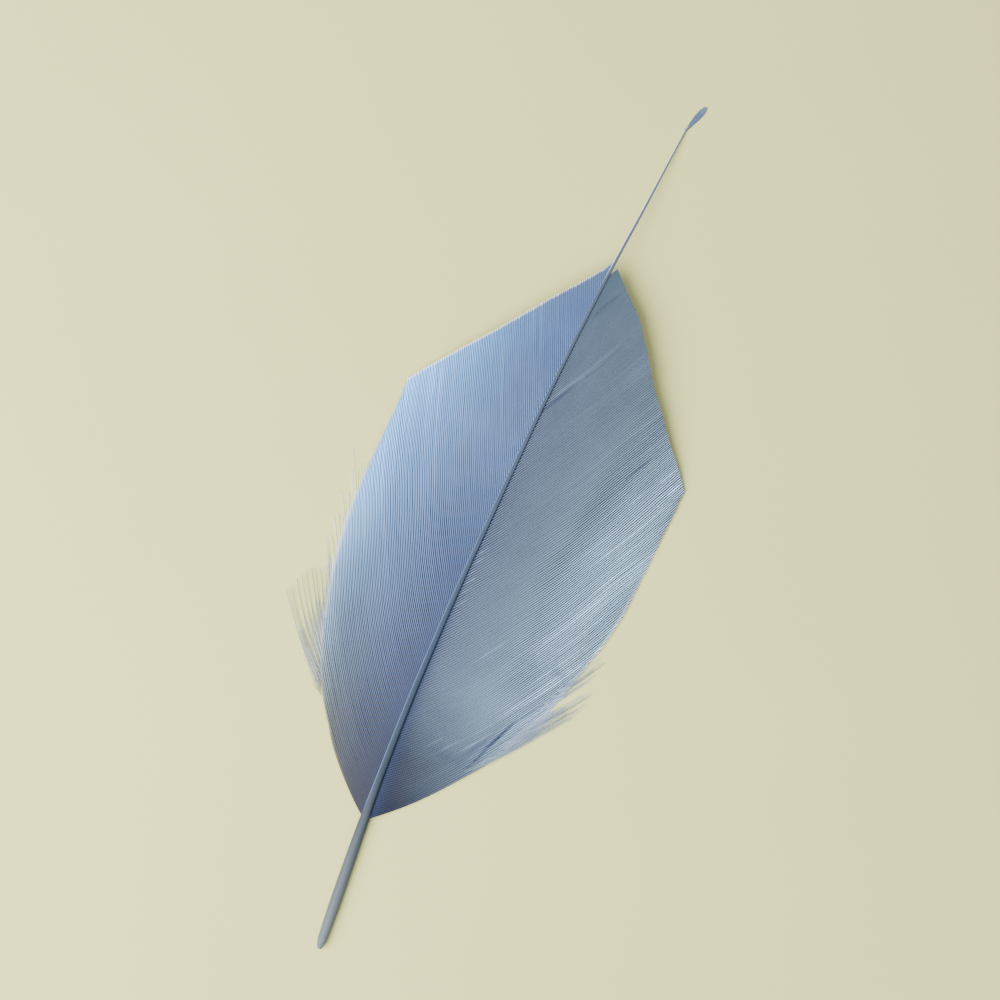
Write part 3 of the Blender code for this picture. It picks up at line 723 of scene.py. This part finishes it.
def layFan(name, half, fan):
    random = np.random.default_rng(fan["seed"])
    listed = np.array(fan["barbs"])
    count = (len(listed) - 1) * fan["between"] + 1
    at = np.arange(count) / fan["between"]
    barbs = np.stack([np.interp(at, np.arange(len(listed)), part) for part in listed.T], axis=1)
    added = np.arange(count) % fan["between"] > 0
    short = np.where(added, random.uniform(0.45, 0.9, count), 1.0)[:, None]
    bright = np.where(added, looseBarbs["lightBetween"], looseBarbs["lightRoot"])
    barbs[:, 2:4] = barbs[:, 0:2] + (barbs[:, 2:4] - barbs[:, 0:2]) * short
    lift = random.uniform(0.2, 1.0, count) * fan["lift"]
    grey = barbs[:, 5]

    def barb(i, u, across, rise):
        thick = looseBarbs["tip"] + (looseBarbs["root"] - looseBarbs["tip"]) * (1.0 - u)
        x, y, _, length = fanPoint(fan, barbs, i, u, across * thick)
        z = vaneHeight(half, x, y) + rise * thick + lift[i] * u * u
        lightRoot = bright[i] * ease(0.0, 0.12, u) * (1.0 - ease(0.2, 0.5, u))
        lightTip = (1.0 - grey[i]) * (0.3 + bright[i]) * ease(0.2, 0.7, u)
        numbers = {"reach": 1.0 - 0.4 * grey[i] * ease(0.3, 0.7, u),
                   "end": lightRoot + lightTip, "across": 0.45, "run": u * length, "tone": 0.0,
                   "shade": 0.3 * grey[i] * ease(0.25, 0.6, u), "ridgeToneAndPaintedShading": 0.0}
        return x, y, np.maximum(z, 0.03), numbers

    ring = [(math.cos(a), math.sin(a)) for a in np.arange(5) * 2.0 * math.pi / 5.0]
    made = layRods(name, count, looseBarbs["rings"], ring, fan["side"] > 0, barb)

    # barbules stand out on both sides of each barb, slanting towards its tip
    owner, place, way = [], [], []
    for k in range(count):
        length = float(fanPoint(fan, barbs, k, 0.5, 0.0)[3])
        steps = np.arange(0.02, looseBarbs["webbed"], looseBarbs["barbuleGap"] / length)
        for hand in (-1.0, 1.0):
            owner += [k] * len(steps)
            place += list(steps + random.uniform(-0.002, 0.002, len(steps)))
            way += [hand] * len(steps)
    owner, place, way = np.array(owner), np.array(place), np.array(way)
    long = fan["barbules"] * random.uniform(0.6, 1.2, len(owner)) * (
        1.0 - 0.8 * place / looseBarbs["webbed"])
    slant = np.radians(random.uniform(18.0, 34.0, len(owner)))

    def barbule(i, u, across, rise):
        thick = looseBarbs["barbuleRadius"] * (1.0 - 0.7 * u)
        x, y, turned, _ = fanPoint(fan, barbs, owner[i], place[i], 0.0)
        course = turned + way[i] * slant[i]
        run = long[i] * u
        x = x + fan["side"] * (run * np.sin(course) + across * thick * np.cos(course))
        y = y + run * np.cos(course) - across * thick * np.sin(course)
        z = vaneHeight(half, x, y) + rise * thick + 0.02 * u + lift[owner[i]] * place[i] ** 2
        own = grey[owner[i]]
        pale = (fan["webPale"] + 0.3 * (1.0 - own) ** 2) * ease(0.0, 0.2, place[i])
        numbers = {"reach": 0.9, "end": pale, "across": 0.45, "run": run, "tone": 0.0,
                   "shade": 0.05 * own, "ridgeToneAndPaintedShading": 0.0}
        return x, y, np.maximum(z, 0.03), numbers

    small = [(math.cos(a), math.sin(a)) for a in np.arange(3) * 2.0 * math.pi / 3.0]
    web = layRods(name + "Web", len(owner), 3, small, fan["side"] > 0, barbule)
    print("stage:", name, "has", count, "barbs and", len(owner), "barbules")
    onlySelect(made, web)
    bpy.ops.object.join()
    return made


leftLoose = layFan("leftLooseBarbs", leftHalf, leftFan)
finishPiece(leftLoose, dyedVaneLeft)
rightLoose = layFan("rightLooseBarbs", rightHalf, rightLowFan)
highLoose = layFan("rightHighLooseBarbs", rightHalf, rightHighFan)
onlySelect(rightLoose, highLoose)
bpy.ops.object.join()
finishPiece(rightLoose, dyedVaneRight)
print("stage: the loose barbs are laid")

# The spoon of vane that is left at the tip.
spoon = {
    "turn": 17.5,  # degrees from +Y towards +X
    "breadth": ((0.0, 0.25), (0.8, 0.34), (2.0, 0.47), (3.4, 0.63), (4.5, 0.64), (5.4, 0.48),
                (5.9, 0.27), (6.15, 0.05)),  # half of it, by the way from the neck
    "barbs": 24,
    "lean": (34.0, 15.0),  # of its barbs, at the neck and towards the end
    "half": 0.08,  # half the width of a barb
    "height": 0.2,
}


def laySpoon():
    random = np.random.default_rng(31)
    count = spoon["barbs"]
    roots = np.tile(np.linspace(-0.3, 5.7, count), 2)
    side = np.repeat((-1.0, 1.0), count)
    lean = np.radians(np.interp(roots, (0.0, 3.0), spoon["lean"]))
    # each barb runs until it crosses the spoon's outline
    steps = np.arange(0.05, 4.0, 0.02)[None, :]
    past = steps * np.sin(lean)[:, None] > smooth(
        spoon["breadth"], roots[:, None] + steps * np.cos(lean)[:, None])
    long = steps[0][np.argmax(past, axis=1)]
    long = np.minimum(long, (6.25 - roots) / np.cos(lean)) * random.uniform(0.985, 1.0, 2 * count)
    tone = random.normal(0.0, 0.7, 2 * count)
    turn = math.radians(spoon["turn"])
    footX, footY = smooth(lines["sideways"], lines["neck"]), lines["neck"]

    def shape(i, u, across, rise):
        # side keeps the strips of both sides facing outwards
        wide = side[i] * spoon["half"] * (1.0 - 0.6 * u ** 3)
        run = long[i] * u
        forward = roots[i] + run * np.cos(lean[i]) - across * wide * np.sin(lean[i])
        aside = side[i] * (run * np.sin(lean[i]) + across * wide * np.cos(lean[i]))
        x = footX + forward * math.sin(turn) + aside * math.cos(turn)
        y = footY + forward * math.cos(turn) - aside * math.sin(turn)
        z = spoon["height"] + rise * 0.9 + 0.03 * np.sin(3.0 * roots[i]) - 0.05 * u * u
        numbers = {"reach": 0.2, "end": 0.05 + 0.08 * ease(4.0, 6.2, forward), "across": across,
                   "run": run, "tone": 0.5 * tone[i],
                   "shade": 0.2 * (1.0 - ease(0.0, 3.0, forward)), "ridgeToneAndPaintedShading": 0.0}
        return x, y, z, numbers

    ring = ((1.0, 0.0), (0.5, 0.07), (0.0, 0.1), (-0.5, 0.07), (-1.0, 0.0), (-0.5, -0.07),
            (0.0, -0.1), (0.5, -0.07))
    made = layRods("tipSpoon", 2 * count, 10, ring, True, shape)
    return finishPiece(made, dyedVaneLeft)


laySpoon()
print("stage: the spoon is laid")

# Shaft keratin: a horny tube that turns to pithy rachis, scraped by the bill and dyed with the
# vane.  It is smoother than the vane, greyer, and finely grooved along its length.
shaftLook = {
    # from the foot to the tip
    "colours": ((0.0, "#5A626A"), (0.2, "#242E3C"), (0.36, "#263448"), (1.0, "#505C6E")),
    # painted highlight on its side towards the light, beside the vane and where it is bare
    "edges": ((0.0, "#526C90"), (0.3, "#6078A0"), (0.78, "#647AA0"), (0.82, "#F4F6F0")),
    # painted shade for the shaft's side away from the light and two lines along its upper part
    "groove": "#0E1526",
    "roughness": 0.55,
    "ior": 1.45,
    "specular": 0.15,  # its fine grooves scatter most of the shine
    "grooves": 9.0,
}


def shaftMaterial():
    material, tree = newTree("dyedGooseShaft")
    run, side, shade, light = (
        addNode(tree, "ShaderNodeAttribute", attribute_name=number).outputs["Fac"]
        for number in ("run", "across", "shade", "light"))
    share = addNode(tree, "ShaderNodeMath", {0: run, 1: 1.0 / shaft["length"]},
                    operation="MULTIPLY").outputs[0]
    dyed = rampOf(tree, share, shaftLook["colours"])
    # long streaks: noise that is stretched along the shaft
    streak = addNode(tree, "ShaderNodeCombineXYZ", {
        0: addNode(tree, "ShaderNodeMath", {0: side, 1: shaftLook["grooves"]},
                   operation="MULTIPLY").outputs[0],
        1: addNode(tree, "ShaderNodeMath", {0: run, 1: 0.12},
                   operation="MULTIPLY").outputs[0]}).outputs[0]
    noise = addNode(tree, "ShaderNodeTexNoise", {"Vector": streak, "Scale": 1.0,
                                                 "Detail": 4.0}).outputs["Fac"]
    level = addNode(tree, "ShaderNodeMapRange",
                    {"Value": noise, "From Min": 0.3, "From Max": 0.7, "To Min": 0.88,
                     "To Max": 1.1}).outputs[0]
    dyed = addNode(tree, "ShaderNodeVectorMath", {"Vector": dyed, "Scale": level},
                   operation="SCALE").outputs[0]
    # the painted highlight line and, below, the painted shade
    dyed = addNode(tree, "ShaderNodeMix",
                   {0: light, 6: dyed, 7: rampOf(tree, share, shaftLook["edges"])},
                   data_type="RGBA").outputs[2]
    dyed = addNode(tree, "ShaderNodeMix", {0: shade, 6: dyed, 7: linear(shaftLook["groove"])},
                   data_type="RGBA").outputs[2]
    bump = addNode(tree, "ShaderNodeBump", {"Height": noise, "Strength": 0.3,
                                            "Distance": 0.05 * mm}).outputs["Normal"]
    surface = addNode(tree, "ShaderNodeBsdfPrincipled",
                      {"Base Color": dyed, "Normal": bump,
                       "Roughness": shaftLook["roughness"], "IOR": shaftLook["ior"],
                       "Specular IOR Level": shaftLook["specular"]})
    addNode(tree, "ShaderNodeOutputMaterial", {"Surface": surface.outputs[0]})
    return material


shaft = {
    "rings": 190,
    "sides": 32,
    "square": 0.28,  # how far the section swells towards a square
    "groove": 0.24,  # depth of the furrow under the vane, as a share of the radius
    "flat": 0.98,  # the foot is round down to this far under its axis
    "length": 178.2,
}


def layShaft():
    turn = math.radians(spoon["turn"])

    def shape(i, u, across, rise):
        # rings stand closer at the foot
        run = shaft["length"] * (0.06 * (1.0 - np.cos(np.pi * u)) / 2.0 + 0.94 * u)
        y = np.minimum(run, lines["neck"])
        past = run - y
        width = smooth(lines["width"], y) * (1.0 - 0.75 * ease(0.0, 5.0, past))
        blunt = np.sqrt(1.0 - 0.55 * (np.maximum(2.0 - run, 0.0) / 2.0) ** 2)
        angle = np.arctan2(rise, across)
        swell = 1.0 + 0.5 * shaft["square"] * ease(20.0, 50.0, run) * (
            np.abs(np.sin(2.0 * angle)) - 0.6)
        radius = 0.5 * width * blunt * swell
        under = np.exp(-((np.sin(angle) + 1.0) / 0.25) ** 2) * ease(22.0, 34.0, run)
        upper = np.exp(-((np.sin(angle) - 1.0) / 0.06) ** 2) * ease(70.0, 120.0, run)
        radius = radius * (1.0 - shaft["groove"] * under - 0.12 * upper)
        x = smooth(lines["sideways"], y) + past * math.sin(turn) + np.cos(angle) * radius
        axis = smooth(lines["height"], y)
        z = axis - 0.24 * ease(0.0, 2.0, past) + np.sin(angle) * radius
        z = np.where(run < 30.0, np.maximum(z, axis - shaft["flat"]), z)
        y = y + past * math.cos(turn)
        # a painted highlight line runs down the side that faces the light, the other side is
        # painted deep as shade, two painted shade lines run along the upper part, and the bare
        # tip has a painted highlight on the lit side
        aside = np.cos(angle)
        webbed = ease(26.0, 32.0, run) * (1.0 - ease(141.0, 144.0, run))
        light = 0.85 * np.exp(-((aside + 0.86) / 0.13) ** 2) * webbed
        light = light + np.exp(-((aside + 0.9) / 0.3) ** 2) * ease(141.0, 144.0, run)
        dark = 0.75 * ease(0.45, 0.95, aside) * ease(22.0, 30.0, run) * (
            1.0 - 0.6 * ease(85.0, 110.0, run)) * (1.0 - ease(122.0, 136.0, run))
        lined = ease(80.0, 115.0, run) * webbed
        for at, depth in ((-0.45, 0.25), (0.5, 0.55)):
            dark = dark + depth * np.exp(-((aside - at) / 0.2) ** 2) * lined
        numbers = {"run": run, "across": angle / np.pi, "light": light,
                   "shade": np.clip(dark, 0.0, 1.0)}
        return x, y, np.maximum(z, 0.0), numbers

    ring = [(math.cos(a), math.sin(a))
            for a in (np.arange(shaft["sides"]) + 0.5) * 2.0 * math.pi / shaft["sides"]]
    made = layRods("shaft", 1, shaft["rings"], ring, True, shape)
    return finishPiece(made, shaftMaterial())


layShaft()
print("stage: the shaft is laid")

# The floor: a sheet of warm cream card.  It is matt, with faint clouds in its pulp.
floorLook = {"size": 3.0, "colour": "#C0C07E", "cloud": 0.02, "cloudSize": 90.0,
             "roughness": 0.85}


def layFloor():
    bpy.ops.object.select_all(action="DESELECT")
    bpy.ops.mesh.primitive_plane_add(size=floorLook["size"], location=(0.0, 0.0, 0.0))
    floor = bpy.context.object
    floor.name = "floor"
    material, tree = newTree("creamCard")
    spot = addNode(tree, "ShaderNodeTexCoord").outputs["Object"]
    cloud = addNode(tree, "ShaderNodeTexNoise",
                    {"Vector": spot, "Scale": 1.0 / (floorLook["cloudSize"] * mm),
                     "Detail": 2.0}).outputs["Fac"]
    level = addNode(tree, "ShaderNodeMapRange",
                    {"Value": cloud, "From Min": 0.3, "From Max": 0.7,
                     "To Min": 1.0 - floorLook["cloud"],
                     "To Max": 1.0 + floorLook["cloud"]}).outputs[0]
    lit = addNode(tree, "ShaderNodeVectorMath",
                  {"Vector": linear(floorLook["colour"])[:3], "Scale": level},
                  operation="SCALE").outputs[0]
    surface = addNode(tree, "ShaderNodeBsdfPrincipled",
                      {"Base Color": lit, "Roughness": floorLook["roughness"]})
    addNode(tree, "ShaderNodeOutputMaterial", {"Surface": surface.outputs[0]})
    floor.data.materials.append(material)


layFloor()

# Soft light from the lower left of the picture, with a pale room round it.
light = {
    "key": {"at": (-0.25, -0.22, 0.4), "size": 0.6, "watts": 11.7, "colour": "#FFFDF6"},
    "top": {"at": (0.15, 0.1, 0.9), "size": 1.2, "watts": 3.9, "colour": "#F4F7FF"},
    "room": ("#E9ECEE", 0.65),
}
# The camera looks straight down.  across is the breadth in millimetres that it sees on a
# plane that lies over the floor, and centre the middle of that.
view = {"lens": 85.0, "across": 192.3, "centre": (-0.7, 4.28), "plane": 4.0, "turn": 24.8}


def setLight():
    for name in ("key", "top"):
        look = light[name]
        lamp = bpy.data.lights.new(name, "AREA")
        lamp.shape = "DISK"
        lamp.size = look["size"]
        lamp.energy = look["watts"]
        lamp.color = linear(look["colour"])[:3]
        held = bpy.data.objects.new(name, lamp)
        bpy.context.scene.collection.objects.link(held)
        held.location = look["at"]
        held.rotation_euler = (-Vector(look["at"])).to_track_quat("-Z", "Y").to_euler()
    world = bpy.data.worlds.new("room")
    world.use_nodes = True
    sky = world.node_tree.nodes["Background"]
    sky.inputs["Color"].default_value = linear(light["room"][0])
    sky.inputs["Strength"].default_value = light["room"][1]
    bpy.context.scene.world = world


def setCamera():
    eye = bpy.data.cameras.new("camera")
    eye.lens = view["lens"]
    eye.sensor_width = 36.0
    held = bpy.data.objects.new("camera", eye)
    bpy.context.scene.collection.objects.link(held)
    far = view["across"] * view["lens"] / 36.0 + view["plane"]
    held.location = Vector((view["centre"][0], view["centre"][1], far)) * mm
    held.rotation_euler = (0.0, 0.0, math.radians(view["turn"]))
    eye.clip_start = 0.01
    bpy.context.scene.camera = held


setLight()
setCamera()
print("stage: the floor, the light and the camera are set")
